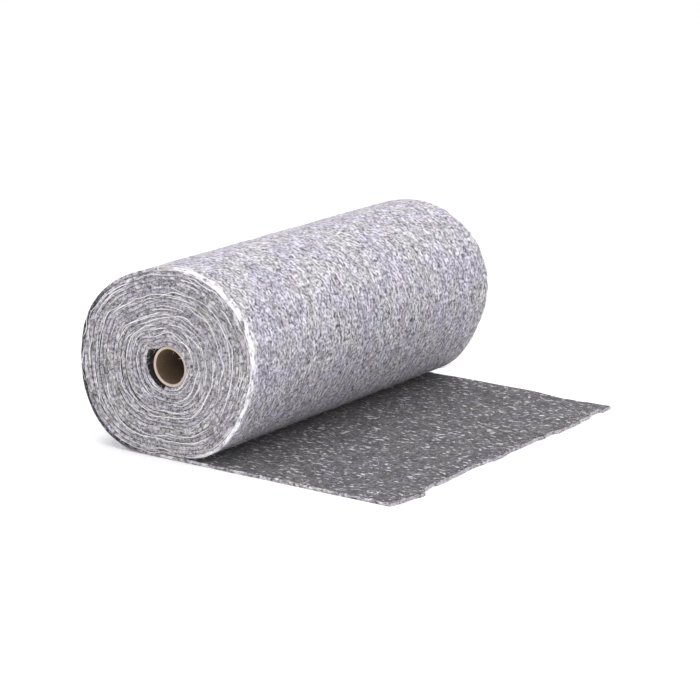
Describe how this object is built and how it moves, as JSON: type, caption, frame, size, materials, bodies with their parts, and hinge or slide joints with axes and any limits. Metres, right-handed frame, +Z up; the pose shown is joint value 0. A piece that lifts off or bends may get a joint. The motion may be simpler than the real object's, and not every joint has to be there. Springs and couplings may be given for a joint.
{
  "type": "roll of felt",
  "caption": "Grey recycled-fibre felt wound on a cardboard core, sagged a little oval, with the torn loose end lying flat along the surface.",
  "frame": {"origin": "on the surface, straight under the winding axis and midway along the roll", "axes": "+Z up; the roll's axis runs along Y; the loose end lies along the surface towards +X"},
  "size_m": [0.5537, 0.6, 0.281],
  "materials": {
    "needled_felt": "matte",
    "core_cardboard": "matte"
  },
  "bodies": {
    "root": {"felt": "needled_felt", "core_tube": "core_cardboard"}
  },
  "joints": []
}
